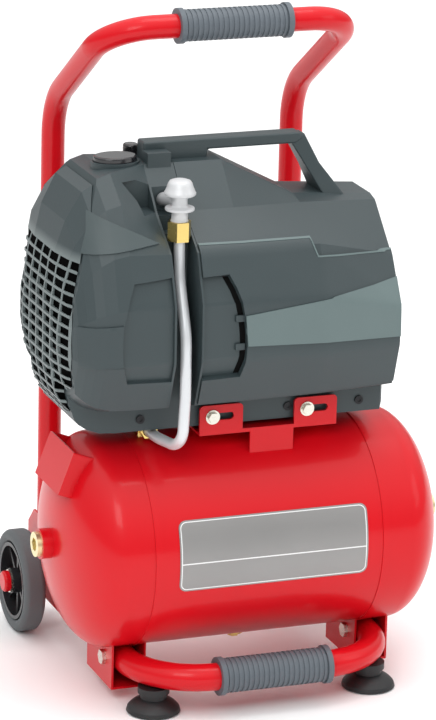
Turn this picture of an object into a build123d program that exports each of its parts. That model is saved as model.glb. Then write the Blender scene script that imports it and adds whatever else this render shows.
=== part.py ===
"""Portable vacuum pump: a motor pump under a plastic cover, on a wheeled vacuum tank.

X runs along the tank, Y from front to back, Z up. The origin is on the floor, under the
middle of the whole machine. Lengths are in millimetres. Places given as y are measured
from the tank axis, and the planes below add where that axis stands.
"""

import os
from math import cos, radians, sin

from build123d import *

os.makedirs("parts", exist_ok=True)

# Tank
TANK_R = 100.0
TANK_TIP = 182.5
DOME_DEPTH = 46.0
TANK_WALL = 2.0
SEAM_X = 106.0
SEAM_BAND = 8.0
SEAM_RISE = 0.8
TANK_LIFT = 43.5
BOSS_R = 14.0
BOSS_OUT = 9.0
PORT_R = 9.0
HOSE_R = 6.6
KEY_R = 6.6
PLUG_OUT = 4.5
PLUG_R = 11.5
DRAIN_R = 9.0
DRAIN_OUT = 6.0

TANK_Z = TANK_LIFT + TANK_R
TANK_TOP = TANK_Z + TANK_R

# Wheels and axle
WHEEL_R = 49.0
WHEEL_W = 21.0
WHEEL_X = 156.5
AXLE_Y = 160.0
AXLE_R = 6.0
AXLE_FIT = 0.1
TYRE_T = 12.0
RIM_T = 3.5
HUB_R = 12.0
SPOKES = 8
CAP_R = 10.0
CAP_OUT = 6.0
TENON_R = 3.6
TENON_L = 4.2
WASHER_R = 11.0
WASHER_T = 1.5
WASHER_GAP = 0.3

# Tubes of the frame
FRAME_R = 11.0
FRAME_WALL = 2.0
FRAME_X = 119.5
FRAME_Y = 190.0
FRAME_FOOT_Z = 24.0
BEND_Z = TANK_TOP + 265.5
TOP_Z = TANK_TOP + 364.5
TOP_Y = 40.0
SHOULDER_BEND = 62.0
TOP_BEND = 45.0
BAR_R = 12.5
BAR_Y = -102.0
BAR_Z = 37.0
BAR_BEND = 65.0
BAR_END_Y = 15.0
BAR_BOLT_Y = -25.0

# Grips
GRIP_HALF = 51.4
GRIP_SLEEVE = 2.8
FLANGE_RISE = 2.4
FLANGE_W = 5.0
GRIP_RIBS = 20
RIB_RISE = 0.8

# Sheet-metal brackets
SHEET = 2.0
SIDE_GAP = 2.0
FRONT_BRACKET = (-47.0, 22.0)
BRACKET_FLOOR_Z = 12.5
REAR_BRACKET_Z = (31.0, TANK_Z - 35.5)
REAR_REACH = 16.0
CROSS_BOLT_R = 4.0

# Feet
FOOT_ANGLE = 38.0
FOOT_R = 24.8
FOOT_RIM = 3.0
NECK_R = 12.0
COLLAR_R = 14.5

# Barrel of the cover: mid plane, mid height and wall
COVER_Y = 4.0
COVER_MID_Z = TANK_TOP + 106.5
COVER_BOTTOM = TANK_TOP + 14.5
COVER_WALL = 2.5
CAP_START = -136.0
CAP_DEPTH = 58.0
HUMP_END = -25.0
SLOPE_END = 45.0
RIGHT_END = 121.0
RIGHT_BULGE = 3.0
DECK_Z = TANK_TOP + 250.5
CREST_Z = TANK_TOP + 214.5
SHELL_GAP = 0.4
BACK_SHELF = 26.0
CHANNEL = (-99.0, -71.0)
CHANNEL_BACK = -50.0
STEP_BACK = -36.0
STEP_Z = TANK_TOP + 196.5
POCKET_BACK = -18.0
POCKET_Z = TANK_TOP + 209.5
CHANNEL_WALL = 2.0
PORT_HOLE_R = 9.0
GRILLE_PITCH = (20.0, 9.6)
GRILLE_GRID = (7, 16)
GRILLE_BAR = 2.4
GRILLE_Z = TANK_TOP + 103.5
WINDOW_X = -130.0
WINDOW_Z = (TANK_TOP + 214.5, TANK_TOP + 238.5)

# Carry handle, switch button, knob and clip on the deck
HANDLE_Y = 17.0
HANDLE_D = 18.0
HANDLE_TOP = TANK_TOP + 267.5
HANDLE_BAR = 10.5
BUTTON_X = -121.0
BUTTON_Y = 10.0
BUTTON_SIZE = (40.0, 30.0)
BUTTON_TOP = TANK_TOP + 257.5
BUTTON_TRAVEL = 3.0
BUTTON_FIT = 0.5
KNOB_X = -98.0
KNOB_Y = 34.0
KNOB_R = 7.0
KNOB_TOP = TANK_TOP + 261.0
STEM_R = 3.0
STEM_FIT = 0.1

# Pump cradle on the tank
CRADLE_X = (-57.0, 76.0)
CRADLE_Z = TANK_TOP + 9.0
CRADLE_T = 2.5
TAB_W = 41.5
TAB_TOP = TANK_TOP + 32.5
SLOT_L = 24.0
SLOT_FIT = 0.4
SLOT_Z = TANK_TOP + 23.5
SLOT_SHIFT = 8.5
BOLT_R = 3.0
BOLT_HEAD = 5.2
BOLT_HEAD_T = 3.5
LEG_X = (-8.0, 34.0)
MOUNT_T = 4.0
MOUNT_R = 8.0
BASE_T = 3.0
BASE_LIFT = 0.5

# Motor and pump mechanism
SHAFT_Z = TANK_TOP + 101.5
SHAFT_R = 6.0
SHAFT_X = (-174.0, 58.0)
SHAFT_FIT = 0.05
STATOR_R = 60.0
STATOR_X = (-46.0, 34.0)
ROTOR_R = 30.0
AIR_GAP = 0.5
COIL_OUT = 10.0
HOUSING_T = 3.0
SHIELD_T = 9.0
BEARING_R = 16.0
CRANK_X = -104.0
CRANK_W = 12.0
CRANK_OFFSET = 3.0
CRANK_GAP = 0.5
CRANK_R = 13.0
BIG_BEARING_R = 19.0
ROD_RING = 5.0
HEAD_PLAY = 1.0
ROD_WEB = 8.0
PISTON_R = 22.0
PISTON_T = 8.0
SEAL_R = 24.0
SEAL_T = 2.0
SIDE_PLAY = 0.4
CYLINDER_T = 3.0
FIN_OUT = 3.0
FINS = 8
CYLINDER_Z = (TANK_TOP + 144.5, TANK_TOP + 206.5)
VALVE_PLATE_T = 2.0
HEAD_TOP = TANK_TOP + 230.5
HEAD_X = (-135.0, -74.0)
HEAD_Y = (-15.5, 33.0)
CASE_X = (-132.0, -66.0)
CASE_WALL = 5.0
CASE_HALF = 36.0
CASE_BOTTOM = TANK_TOP + 61.5
FAN_X = -172.0
FAN_R = 56.0
FAN_W = 12.0
FAN_HUB = 14.0
BLADES = 9
BLADE_T = 3.0
BLADE_LEAN = 14.0

# Suction fitting, suction pipe and check valve
SUCTION_X = -85.0
SUCTION_Y = -62.0
ELBOW_Z = TANK_TOP + 239.5
PORT_Z = TANK_TOP + 220.5
PIPE_R = 5.0
PIPE_WALL = 1.0
NUT_AF = 19.0
NUT_Z = (TANK_TOP + 195.0, TANK_TOP + 212.5)
PIPE_LOW_Z = TANK_TOP + 7.0
PIPE_LOW_Y = -86.0
VALVE_X = -96.0
VALVE_Y = -8.0
VALVE_R = 7.5
VALVE_TOP = TANK_TOP + 13.0
LOW_NUT_L = 9.0

TOP_GRIP_R = FRAME_R + GRIP_SLEEVE
LOW_GRIP_R = BAR_R + GRIP_SLEEVE
FRONT_REACH = -BAR_Y + LOW_GRIP_R + FLANGE_RISE
REAR_REACH_Y = AXLE_Y + WHEEL_R
TANK_Y = (FRONT_REACH - REAR_REACH_Y) / 2
FOOT_X = FRAME_X - BAR_BEND * (1 - cos(radians(FOOT_ANGLE)))
FOOT_Y = BAR_Y + BAR_BEND * (1 - sin(radians(FOOT_ANGLE)))


def across(x):
    """The upright plane across the tank at x, with y along it and z up."""
    return Plane(origin=(x, TANK_Y, 0), x_dir=(0, 1, 0), z_dir=(1, 0, 0))


def along(y):
    """The upright plane along the tank at y, facing the front, with x along it and z up."""
    return Plane(origin=(0, TANK_Y + y, 0), x_dir=(1, 0, 0), z_dir=(0, -1, 0))


def level(z):
    """The level plane at height z, with its origin over the tank axis."""
    return Plane(origin=(0, TANK_Y, z))


def place(x, y, z):
    """The point at x, at y from the tank axis, at height z."""
    return (x, TANK_Y + y, z)


def rod(plane, centre, radius, length):
    """A round bar standing on a plane, added to the part being built."""
    with BuildSketch(plane) as outline:
        with Locations(centre):
            Circle(radius)
    extrude(outline.sketch, amount=length)


def bore(plane, centre, radius, length):
    """A round hole cut from a plane into the part being built."""
    with BuildSketch(plane) as outline:
        with Locations(centre):
            Circle(radius)
    extrude(outline.sketch, amount=length, mode=Mode.SUBTRACT)


def block(x, y, z, mode=Mode.ADD):
    """A box between two x, two y and two z values."""
    with BuildSketch(level(z[0])) as outline:
        with Locations(((x[0] + x[1]) / 2, (y[0] + y[1]) / 2)):
            Rectangle(x[1] - x[0], y[1] - y[0])
    extrude(outline.sketch, amount=z[1] - z[0], mode=mode)


def finish(piece, name):
    """Labels a finished piece and writes it."""
    piece.part.label = name
    export_step(piece.part, f"parts/{name}.step")


def finish_pair(shape, name):
    """Writes a shape of the right side together with its mirror image on the left."""
    with BuildPart() as pair:
        add(shape)
        add(shape.mirror(Plane.YZ))
    finish(pair, name)


SIDES = (("left", -1), ("right", 1))

# Tank: a rolled middle, two drawn domes, their ports and the drain plug -------------------

TANK_AXIS = Axis(place(0, 0, TANK_Z), (1, 0, 0))
TANK_PLANE = Plane(origin=place(0, 0, TANK_Z), x_dir=(1, 0, 0), z_dir=(0, -1, 0))

with BuildPart() as tank_shell:
    with BuildSketch(TANK_PLANE):
        with Locations((0, TANK_R - TANK_WALL / 2)):
            Rectangle(2 * SEAM_X, TANK_WALL)
    revolve(axis=TANK_AXIS)
    bore(level(0), (0, 0), DRAIN_R, TANK_Z)
finish(tank_shell, "tank_shell")

with BuildPart() as tank_dome:
    with BuildSketch(TANK_PLANE):
        dome_start = TANK_TIP - DOME_DEPTH
        with BuildLine():
            Line((SEAM_X, TANK_R), (dome_start, TANK_R))
            EllipticalCenterArc((dome_start, 0), DOME_DEPTH, TANK_R, 0, arc_size=90)
            Line((TANK_TIP, 0), (TANK_TIP - TANK_WALL, 0))
            EllipticalCenterArc(
                (dome_start, 0), DOME_DEPTH - TANK_WALL, TANK_R - TANK_WALL, 0, arc_size=90,
            )
            Line((dome_start, TANK_R - TANK_WALL), (SEAM_X, TANK_R - TANK_WALL))
            Line((SEAM_X, TANK_R - TANK_WALL), (SEAM_X, TANK_R))
        make_face()
        with Locations((SEAM_X + SEAM_BAND / 2, TANK_R + SEAM_RISE / 2)):
            Rectangle(SEAM_BAND, SEAM_RISE)
    revolve(axis=TANK_AXIS)
    bore(across(SEAM_X), (0, TANK_Z), BOSS_R, TANK_TIP)

with BuildPart() as tank_boss:
    rod(across(TANK_TIP - DOME_DEPTH / 4), (0, TANK_Z), BOSS_R, DOME_DEPTH / 4 + BOSS_OUT)
    bore(across(SEAM_X), (0, TANK_Z), PORT_R, TANK_TIP)

finish_pair(tank_dome.part, "tank_domes")
finish_pair(tank_boss.part, "tank_bosses")

PORT_FACE = TANK_TIP + BOSS_OUT
with BuildPart() as port_fittings:
    rod(across(-PORT_FACE), (0, TANK_Z), PLUG_R, -PLUG_OUT)
    rod(across(-PORT_FACE), (0, TANK_Z), PORT_R, BOSS_OUT)
    with BuildSketch(across(-PORT_FACE - PLUG_OUT)):
        with Locations((0, TANK_Z)):
            RegularPolygon(KEY_R, 6)
    extrude(amount=PLUG_OUT, mode=Mode.SUBTRACT)
    rod(across(PORT_FACE), (0, TANK_Z), PLUG_R, PLUG_OUT)
    rod(across(PORT_FACE - BOSS_OUT), (0, TANK_Z), PORT_R, BOSS_OUT)
    bore(across(PORT_FACE - BOSS_OUT), (0, TANK_Z), HOSE_R, BOSS_OUT + PLUG_OUT)
finish(port_fittings, "port_fittings")

with BuildPart() as drain_plug:
    rod(level(TANK_Z - TANK_R + DRAIN_OUT), (0, 0), DRAIN_R, -2 * DRAIN_OUT)
    with BuildSketch(level(TANK_Z - TANK_R - DRAIN_OUT)):
        RegularPolygon(DRAIN_R * 0.6, 6)
    extrude(amount=-DRAIN_OUT / 2)
finish(drain_plug, "drain_plug")

# Plates on the tank --------------------------------------------------------------------

LABEL_HALF = 91.0
LABEL_ARC = (-13.0, 25.0)
LABEL_T = 0.6

with BuildPart() as label_plate:
    with BuildSketch(TANK_PLANE):
        with Locations((0, TANK_R + LABEL_T / 2)):
            Rectangle(2 * LABEL_HALF, LABEL_T)
    revolve(axis=TANK_AXIS, revolution_arc=LABEL_ARC[1] - LABEL_ARC[0])
with BuildPart() as label_turned:
    turn = 90 - LABEL_ARC[1]
    add(label_plate.part.rotate(TANK_AXIS, turn))
finish(label_turned, "label_plate")

PLATE_TILT = 20.4
PLATE_HEIGHT = 41.6
PLATE_HALF = 33.5
PLATE_TOP = (-170.5, TANK_TOP - 4.0)
PLATE_DEPTH = 26.0
PLATE_SHEET = 1.5

plate_plane = Plane(
    origin=place(PLATE_TOP[0], 0, PLATE_TOP[1]),
    x_dir=(0, -1, 0),
    z_dir=(-cos(radians(PLATE_TILT)), 0, sin(radians(PLATE_TILT))),
)
with BuildPart() as plate_holder:
    with BuildSketch(plate_plane):
        with Locations((0, -PLATE_HEIGHT / 2)):
            RectangleRounded(2 * PLATE_HALF, PLATE_HEIGHT, PLATE_SHEET)
    extrude(amount=-PLATE_DEPTH)
    with BuildSketch(plate_plane.offset(-PLATE_SHEET)):
        with Locations((0, -PLATE_HEIGHT / 2)):
            Rectangle(2 * (PLATE_HALF - PLATE_SHEET), 2 * PLATE_HEIGHT)
    extrude(amount=-PLATE_DEPTH, mode=Mode.SUBTRACT)
    add(tank_dome.part.mirror(Plane.YZ), mode=Mode.SUBTRACT)
    with BuildSketch(TANK_PLANE):
        with BuildLine():
            EllipticalCenterArc((-dome_start, 0), DOME_DEPTH, TANK_R, 90, arc_size=90)
            Polyline((-TANK_TIP, 0), (-dome_start, 0), (-dome_start, TANK_R))
        make_face()
    revolve(axis=TANK_AXIS, mode=Mode.SUBTRACT)
finish(plate_holder, "plate_holder")

# Lower bar, its brackets, its grip and the feet ------------------------------------------

with BuildPart() as tank_outside:
    rod(across(-TANK_TIP), (0, TANK_Z), TANK_R, 2 * TANK_TIP)
    for x in (-SEAM_X - SEAM_BAND, SEAM_X):
        rod(across(x), (0, TANK_Z), TANK_R + SEAM_RISE, SEAM_BAND)

with BuildPart() as lower_bar_solid:
    with BuildLine(level(BAR_Z)) as bar_path:
        FilletPolyline(
            (-FRAME_X, BAR_END_Y), (-FRAME_X, BAR_Y), (FRAME_X, BAR_Y), (FRAME_X, BAR_END_Y),
            radius=BAR_BEND,
        )
    with BuildSketch(Plane(origin=bar_path.line @ 0, z_dir=bar_path.line % 0)):
        Circle(BAR_R)
    sweep()

with BuildPart() as lower_bar:
    with BuildSketch(Plane(origin=bar_path.line @ 0, z_dir=bar_path.line % 0)):
        Circle(BAR_R)
        Circle(BAR_R - FRAME_WALL, mode=Mode.SUBTRACT)
    sweep(path=bar_path.line)
    for x in (-FOOT_X, FOOT_X):
        bore(level(0), (x, FOOT_Y), CROSS_BOLT_R, BAR_Z)
    bore(
        across(-FRAME_X - 2 * BAR_R), (BAR_BOLT_Y, BAR_Z),
        CROSS_BOLT_R, 2 * FRAME_X + 4 * BAR_R,
    )
    add(tank_outside.part, mode=Mode.SUBTRACT)
finish(lower_bar, "lower_bar")

WALL_OUT = BAR_R + SIDE_GAP + SHEET
with BuildPart() as front_bracket:
    block((FRAME_X - WALL_OUT, FRAME_X + WALL_OUT), FRONT_BRACKET, (BRACKET_FLOOR_Z, TANK_Z))
    block(
        (FRAME_X - WALL_OUT + SHEET, FRAME_X + WALL_OUT - SHEET),
        (FRONT_BRACKET[0] - SHEET, FRONT_BRACKET[1] - SHEET),
        (BRACKET_FLOOR_Z + SHEET, TANK_Z), Mode.SUBTRACT,
    )
    add(tank_outside.part, mode=Mode.SUBTRACT)
    bore(across(FRAME_X - 2 * BAR_R), (BAR_BOLT_Y, BAR_Z), CROSS_BOLT_R, 4 * BAR_R)
finish_pair(front_bracket.part.solids().sort_by(Axis.Z)[0], "front_brackets")


def grip(path_plane, half, inner, name):
    """A ribbed rubber sleeve along X with a flange at each end, round a tube."""
    outer = inner + GRIP_SLEEVE
    with BuildPart() as sleeve:
        with BuildSketch(path_plane):
            Circle(outer)
        extrude(amount=half, both=True)
        for end in (-half, half):
            with BuildSketch(path_plane.offset(end - FLANGE_W / 2)):
                Circle(outer + FLANGE_RISE)
            extrude(amount=FLANGE_W)
        step = 2 * (half - FLANGE_W) / (GRIP_RIBS - 1)
        for number in range(GRIP_RIBS):
            start = -half + FLANGE_W + number * step - step / 4
            with BuildSketch(path_plane.offset(start)):
                Circle(outer + RIB_RISE)
            extrude(amount=step / 2)
        with BuildSketch(path_plane.offset(-half - FLANGE_W)):
            Circle(inner)
        extrude(amount=2 * half + 2 * FLANGE_W, mode=Mode.SUBTRACT)
    finish(sleeve, name)


grip(
    Plane(origin=place(0, BAR_Y, BAR_Z), x_dir=(0, 1, 0), z_dir=(1, 0, 0)),
    GRIP_HALF, BAR_R, "lower_grip",
)
grip(
    Plane(origin=place(0, TOP_Y, TOP_Z), x_dir=(0, 1, 0), z_dir=(1, 0, 0)),
    GRIP_HALF, FRAME_R, "handle_grip",
)

FOOT_TOP = BAR_Z - BAR_R
FOOT_WAIST = FOOT_TOP * 0.55
COLLAR_Z = FOOT_TOP * 0.75
LIP_Z = FOOT_RIM + 2
foot_plane = Plane(origin=place(FOOT_X, FOOT_Y, 0), x_dir=(1, 0, 0), z_dir=(0, -1, 0))
with BuildPart() as foot:
    with BuildSketch(foot_plane):
        with BuildLine():
            Polyline((0, FOOT_TOP), (0, FOOT_RIM), (FOOT_R - FOOT_RIM, 0), (FOOT_R, FOOT_RIM / 2))
            Line((FOOT_R, FOOT_RIM / 2), (FOOT_R - 1, LIP_Z))
            RadiusArc((FOOT_R - 1, LIP_Z), (NECK_R, FOOT_WAIST), -FOOT_TOP)
            Polyline(
                (NECK_R, FOOT_WAIST), (NECK_R, COLLAR_Z - 1), (COLLAR_R, COLLAR_Z),
                (COLLAR_R, FOOT_TOP), (0, FOOT_TOP),
            )
        make_face()
    revolve(axis=Axis(place(FOOT_X, FOOT_Y, 0), (0, 0, 1)))
    bore(level(FOOT_RIM), (FOOT_X, FOOT_Y), CROSS_BOLT_R, FOOT_TOP)
    add(lower_bar_solid.part, mode=Mode.SUBTRACT)
finish_pair(foot.part, "suction_feet")

# Handle frame, rear brackets, axle and wheels --------------------------------------------

FRAME_POINTS = [
    place(-FRAME_X, FRAME_Y, FRAME_FOOT_Z), place(-FRAME_X, FRAME_Y, BEND_Z),
    place(-FRAME_X, TOP_Y, TOP_Z), place(FRAME_X, TOP_Y, TOP_Z),
    place(FRAME_X, FRAME_Y, BEND_Z), place(FRAME_X, FRAME_Y, FRAME_FOOT_Z),
]
CROSS_Z = FRAME_FOOT_Z + FRAME_R + CROSS_BOLT_R
with BuildPart() as handle_frame:
    with BuildLine() as frame_path:
        FilletPolyline(
            *FRAME_POINTS,
            radius=[SHOULDER_BEND, TOP_BEND, TOP_BEND, SHOULDER_BEND],
        )
    with BuildSketch(Plane(origin=frame_path.line @ 0, z_dir=frame_path.line % 0)):
        Circle(FRAME_R)
        Circle(FRAME_R - FRAME_WALL, mode=Mode.SUBTRACT)
    sweep()
    bore(across(-FRAME_X - 2 * FRAME_R), (FRAME_Y, CROSS_Z), CROSS_BOLT_R, 2 * FRAME_X + 4 * FRAME_R)
finish(handle_frame, "handle_frame")

REAR_WALL_X = FRAME_R + SIDE_GAP
LEG_END = FRAME_Y + REAR_REACH
with BuildPart() as rear_bracket:
    with BuildSketch(across(FRAME_X - REAR_WALL_X - SHEET)):
        with BuildLine():
            Polyline(
                (TANK_R * 0.2, TANK_Z), (TANK_R * 0.6, REAR_BRACKET_Z[0]),
                (LEG_END, REAR_BRACKET_Z[0]), (LEG_END, REAR_BRACKET_Z[1] - REAR_REACH),
                (FRAME_Y, REAR_BRACKET_Z[1]), (TANK_R * 0.5, REAR_BRACKET_Z[1]), close=True,
            )
        make_face()
    extrude(amount=2 * (REAR_WALL_X + SHEET))
    block(
        (FRAME_X - REAR_WALL_X, FRAME_X + REAR_WALL_X), (0, LEG_END - SHEET),
        (REAR_BRACKET_Z[0] - SHEET, TANK_Z), Mode.SUBTRACT,
    )
    bore(across(FRAME_X - 2 * FRAME_R), (AXLE_Y, WHEEL_R), AXLE_R + AXLE_FIT, 4 * FRAME_R)
    bore(across(FRAME_X - 2 * FRAME_R), (FRAME_Y, CROSS_Z), CROSS_BOLT_R, 4 * FRAME_R)
    add(tank_outside.part, mode=Mode.SUBTRACT)
finish_pair(rear_bracket.part, "rear_brackets")

AXLE_END = WHEEL_X + WHEEL_W / 2 + WASHER_T + 2 * WASHER_GAP
with BuildPart() as axle:
    rod(across(-AXLE_END), (AXLE_Y, WHEEL_R), AXLE_R, 2 * AXLE_END)
    for end in (-AXLE_END, AXLE_END):
        rod(across(end), (AXLE_Y, WHEEL_R), TENON_R, TENON_L if end > 0 else -TENON_L)
finish(axle, "axle")

with BuildPart() as frame_bolts:
    spans = (
        (BAR_R + SIDE_GAP + SHEET, (BAR_BOLT_Y, BAR_Z)),
        (REAR_WALL_X + SHEET, (FRAME_Y, CROSS_Z)),
    )
    for half, spot in spans:
        for x in (-FRAME_X, FRAME_X):
            rod(across(x - half), spot, CROSS_BOLT_R, 2 * half)
            for end in (x - half - BOLT_HEAD_T, x + half):
                with BuildSketch(across(end)):
                    with Locations(spot):
                        RegularPolygon(CROSS_BOLT_R * 1.8, 6)
                extrude(amount=BOLT_HEAD_T)

for side, sign in SIDES:
    outward = sign * WHEEL_W / 2
    with BuildPart() as rim:
        centre = (AXLE_Y, WHEEL_R)
        rod(across(sign * WHEEL_X - WHEEL_W / 2), centre, HUB_R, WHEEL_W)
        rod(across(sign * WHEEL_X - WHEEL_W / 2 + 1), centre, WHEEL_R - TYRE_T, WHEEL_W - 2)
        bore(
            across(sign * WHEEL_X - WHEEL_W / 2 + 1), centre,
            WHEEL_R - TYRE_T - RIM_T, WHEEL_W - 2,
        )
        rod(across(sign * WHEEL_X - WHEEL_W / 2), centre, HUB_R, WHEEL_W)
        with BuildSketch(across(sign * WHEEL_X - RIM_T)):
            with Locations(centre):
                with PolarLocations((HUB_R + WHEEL_R - TYRE_T - RIM_T) / 2, SPOKES):
                    Rectangle(WHEEL_R - TYRE_T - RIM_T - HUB_R + 3, RIM_T)
        extrude(amount=2 * RIM_T)
        bore(across(sign * WHEEL_X - WHEEL_W), centre, AXLE_R + AXLE_FIT, 2 * WHEEL_W)
    finish(rim, f"wheel_rim_{side}")

    with BuildPart() as tyre:
        with BuildSketch(
            Plane(origin=place(sign * WHEEL_X, AXLE_Y, WHEEL_R), x_dir=(1, 0, 0), z_dir=(0, -1, 0))
        ):
            with Locations((0, WHEEL_R - TYRE_T / 2)):
                Rectangle(WHEEL_W, TYRE_T)
            with Locations((0, WHEEL_R - TYRE_T / 2)):
                RectangleRounded(WHEEL_W, TYRE_T, TYRE_T * 0.45, mode=Mode.INTERSECT)
        revolve(axis=Axis(place(sign * WHEEL_X, AXLE_Y, WHEEL_R), (1, 0, 0)))
    finish(tyre, f"tyre_{side}")

cap_start = WHEEL_X + WHEEL_W / 2 + WASHER_T + 2 * WASHER_GAP
with BuildPart() as hub_cap:
    rod(across(cap_start), (AXLE_Y, WHEEL_R), CAP_R, CAP_OUT)
    fillet(hub_cap.edges().group_by(Axis.X)[-1], CAP_OUT * 0.4)
    bore(across(cap_start), (AXLE_Y, WHEEL_R), TENON_R, TENON_L)
finish_pair(hub_cap.part, "hub_caps")

with BuildPart() as axle_washers:
    inner = WHEEL_X - WHEEL_W / 2 - WASHER_GAP - WASHER_T
    outer = WHEEL_X + WHEEL_W / 2 + WASHER_GAP
    for x in (-outer - WASHER_T, -inner - WASHER_T, inner, outer):
        rod(across(x), (AXLE_Y, WHEEL_R), WASHER_R, WASHER_T)
    bore(across(-TANK_TIP), (AXLE_Y, WHEEL_R), AXLE_R, 2 * TANK_TIP)
finish(axle_washers, "axle_washers")

# Cover: a faceted barrel that ends in a domed grille cap -------------------------------


def barrel_ring(x, outline):
    """One cross-section of the barrel from its front points (forward, z).

    The back mirrors them, with the two top points further back to make room for the deck.
    """
    front = [(COVER_Y - forward, z) for forward, z in outline]
    back = [(COVER_Y + forward, z) for forward, z in outline]
    shelf = BACK_SHELF * outline[-2][0] / CAP_OUTLINE[-2][0] if x < CAP_START else BACK_SHELF
    for top in (-2, -1):
        back[top] = (back[top][0] + shelf, back[top][1])
    back.reverse()
    with BuildSketch(across(x)) as ring:
        with BuildLine() as edge:
            Polyline(*front, *back, close=True)
        make_face(edge.edges())
    return ring.sketch.faces()[0]


CAP_OUTLINE = [
    (48.0, COVER_BOTTOM), (48.0, COVER_BOTTOM + 21.0),
    (80.0, COVER_BOTTOM + 31.0), (97.0, COVER_BOTTOM + 75.0),
    (96.0, COVER_BOTTOM + 128.0), (82.0, COVER_BOTTOM + 174.0),
    (56.0, COVER_BOTTOM + 213.0), (24.0, COVER_BOTTOM + 234.0),
]
HUMP_OUTLINE = [
    (48.0, COVER_BOTTOM), (48.0, COVER_BOTTOM + 22.0),
    (82.0, COVER_BOTTOM + 31.0), (99.0, COVER_BOTTOM + 76.0),
    (98.0, COVER_BOTTOM + 128.0), (81.0, COVER_BOTTOM + 172.0),
    (42.0, CREST_Z), (8.0, DECK_Z),
]
SLOPE_OUTLINE = [
    (48.0, COVER_BOTTOM), (48.0, COVER_BOTTOM + 22.0),
    (82.0, COVER_BOTTOM + 32.0), (98.0, COVER_BOTTOM + 76.0),
    (97.0, COVER_BOTTOM + 126.0), (78.0, COVER_BOTTOM + 171.0),
    (26.0, CREST_Z - 4), (8.0, CREST_Z),
]
RIGHT_OUTLINE = [
    (48.0, COVER_BOTTOM), (48.0, COVER_BOTTOM + 23.0),
    (75.0, COVER_BOTTOM + 33.0), (88.0, COVER_BOTTOM + 75.0),
    (87.0, COVER_BOTTOM + 108.0), (62.0, COVER_BOTTOM + 152.0),
    (20.0, CREST_Z - 8), (8.0, CREST_Z - 5),
]


def cap_outline(depth):
    """The cap's outline at a share of its depth: it closes as a dome, flatter across than up."""
    wide = (1 - depth ** 3.5) ** (1 / 3.5)
    high = (1 - depth ** 2) ** 0.5
    low = (1 - depth ** 2.5) ** (1 / 2.5)
    points = []
    for forward, z in CAP_OUTLINE:
        rise = z - COVER_MID_Z
        points.append((forward * wide, COVER_MID_Z + rise * (high if rise > 0 else low)))
    return points


def right_outline(share):
    """The right end's outline, drawn in to a share of its size."""
    return [
        (forward * share, COVER_MID_Z + (z - COVER_MID_Z) * share) for forward, z in RIGHT_OUTLINE
    ]


STATIONS = [(CAP_START - CAP_DEPTH * share, cap_outline(share)) for share in (0.97, 0.88, 0.7, 0.45)]
STATIONS += [
    (CAP_START, CAP_OUTLINE), (CHANNEL[0], HUMP_OUTLINE), (HUMP_END, HUMP_OUTLINE),
    (SLOPE_END, SLOPE_OUTLINE), (RIGHT_END, RIGHT_OUTLINE),
    (RIGHT_END + RIGHT_BULGE, right_outline(0.93)),
]


def inset(face, amount):
    """The same face drawn in all round, with its corners kept sharp."""
    return offset(face, amount=-amount, kind=Kind.INTERSECTION, mode=Mode.PRIVATE).faces()[0]


barrel_faces = [barrel_ring(x, outline) for x, outline in STATIONS]
with BuildPart() as barrel:
    loft(barrel_faces, ruled=True)

inner_faces = [inset(face, COVER_WALL) for face in barrel_faces]
inner_faces[0] = inner_faces[0].moved(Location((COVER_WALL, 0, 0)))
inner_faces[-1] = inner_faces[-1].moved(Location((-COVER_WALL, 0, 0)))
with BuildPart() as barrel_inside:
    loft(inner_faces, ruled=True)

with BuildPart() as cover_wall:
    add(barrel.part)
    add(barrel_inside.part, mode=Mode.SUBTRACT)

CAP_EDGE = [
    (-132.0, DECK_Z + 26.0), (-160.0, DECK_Z - 28.0), (-183.0, DECK_Z - 100.0),
    (-186.0, DECK_Z - 159.0), (-163.0, COVER_BOTTOM - 18.0),
]
FAR_LEFT = -240.0


def left_of_cap_edge(gap):
    """The space on the grille cap's side of its joint, moved to the right by a gap."""
    with BuildPart() as side_space:
        with BuildSketch(along(2 * BARREL_DEPTH)):
            with BuildLine():
                edge = [(x + gap, z) for x, z in CAP_EDGE]
                Spline(*edge)
                Polyline(edge[-1], (FAR_LEFT, edge[-1][1]), (FAR_LEFT, edge[0][1]), edge[0])
            make_face()
        extrude(amount=4 * BARREL_DEPTH)
    return side_space.part


BARREL_DEPTH = 120.0
CHANNEL_IN = (CHANNEL[0] + CHANNEL_WALL, CHANNEL[1] - CHANNEL_WALL)
CRADLE_Y = (COVER_Y - CAP_OUTLINE[0][0] - MOUNT_T, COVER_Y + CAP_OUTLINE[0][0] + MOUNT_T)
TAB_X = (CRADLE_X[0] + TAB_W / 2, CRADLE_X[1] - TAB_W / 2)
BOLT_X = [x - SLOT_SHIFT for x in TAB_X]
MOUNT_SPOTS = [(x, SLOT_Z) for x in BOLT_X]
BELOW = COVER_BOTTOM - 10
ABOVE = DECK_Z + 10

with BuildPart() as bolt_holes:
    for spot in MOUNT_SPOTS:
        rod(along(2 * CRADLE_Y[0]), spot, BOLT_R, -4 * CRADLE_Y[1])

CHANNEL_STEPS = ((BELOW, CHANNEL_BACK), (STEP_Z, STEP_BACK), (POCKET_Z, POCKET_BACK))
with BuildPart() as channel_space:
    for bottom, back in CHANNEL_STEPS:
        block(CHANNEL, (-BARREL_DEPTH, back), (bottom, ABOVE))

with BuildPart() as pipe_channel:
    add(channel_space.part)
    for bottom, back in CHANNEL_STEPS:
        block(
            CHANNEL_IN, (-BARREL_DEPTH, back - CHANNEL_WALL), (bottom + CHANNEL_WALL, ABOVE),
            Mode.SUBTRACT,
        )
    bore(along(CHANNEL_BACK), (SUCTION_X, PORT_Z + 1), PORT_HOLE_R, -BARREL_DEPTH)
    add(barrel.part, mode=Mode.INTERSECT)
finish(pipe_channel, "pipe_channel")

BUTTON_WELL_Z = TANK_TOP + 238.5
BEZEL_T = 2.0

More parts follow.
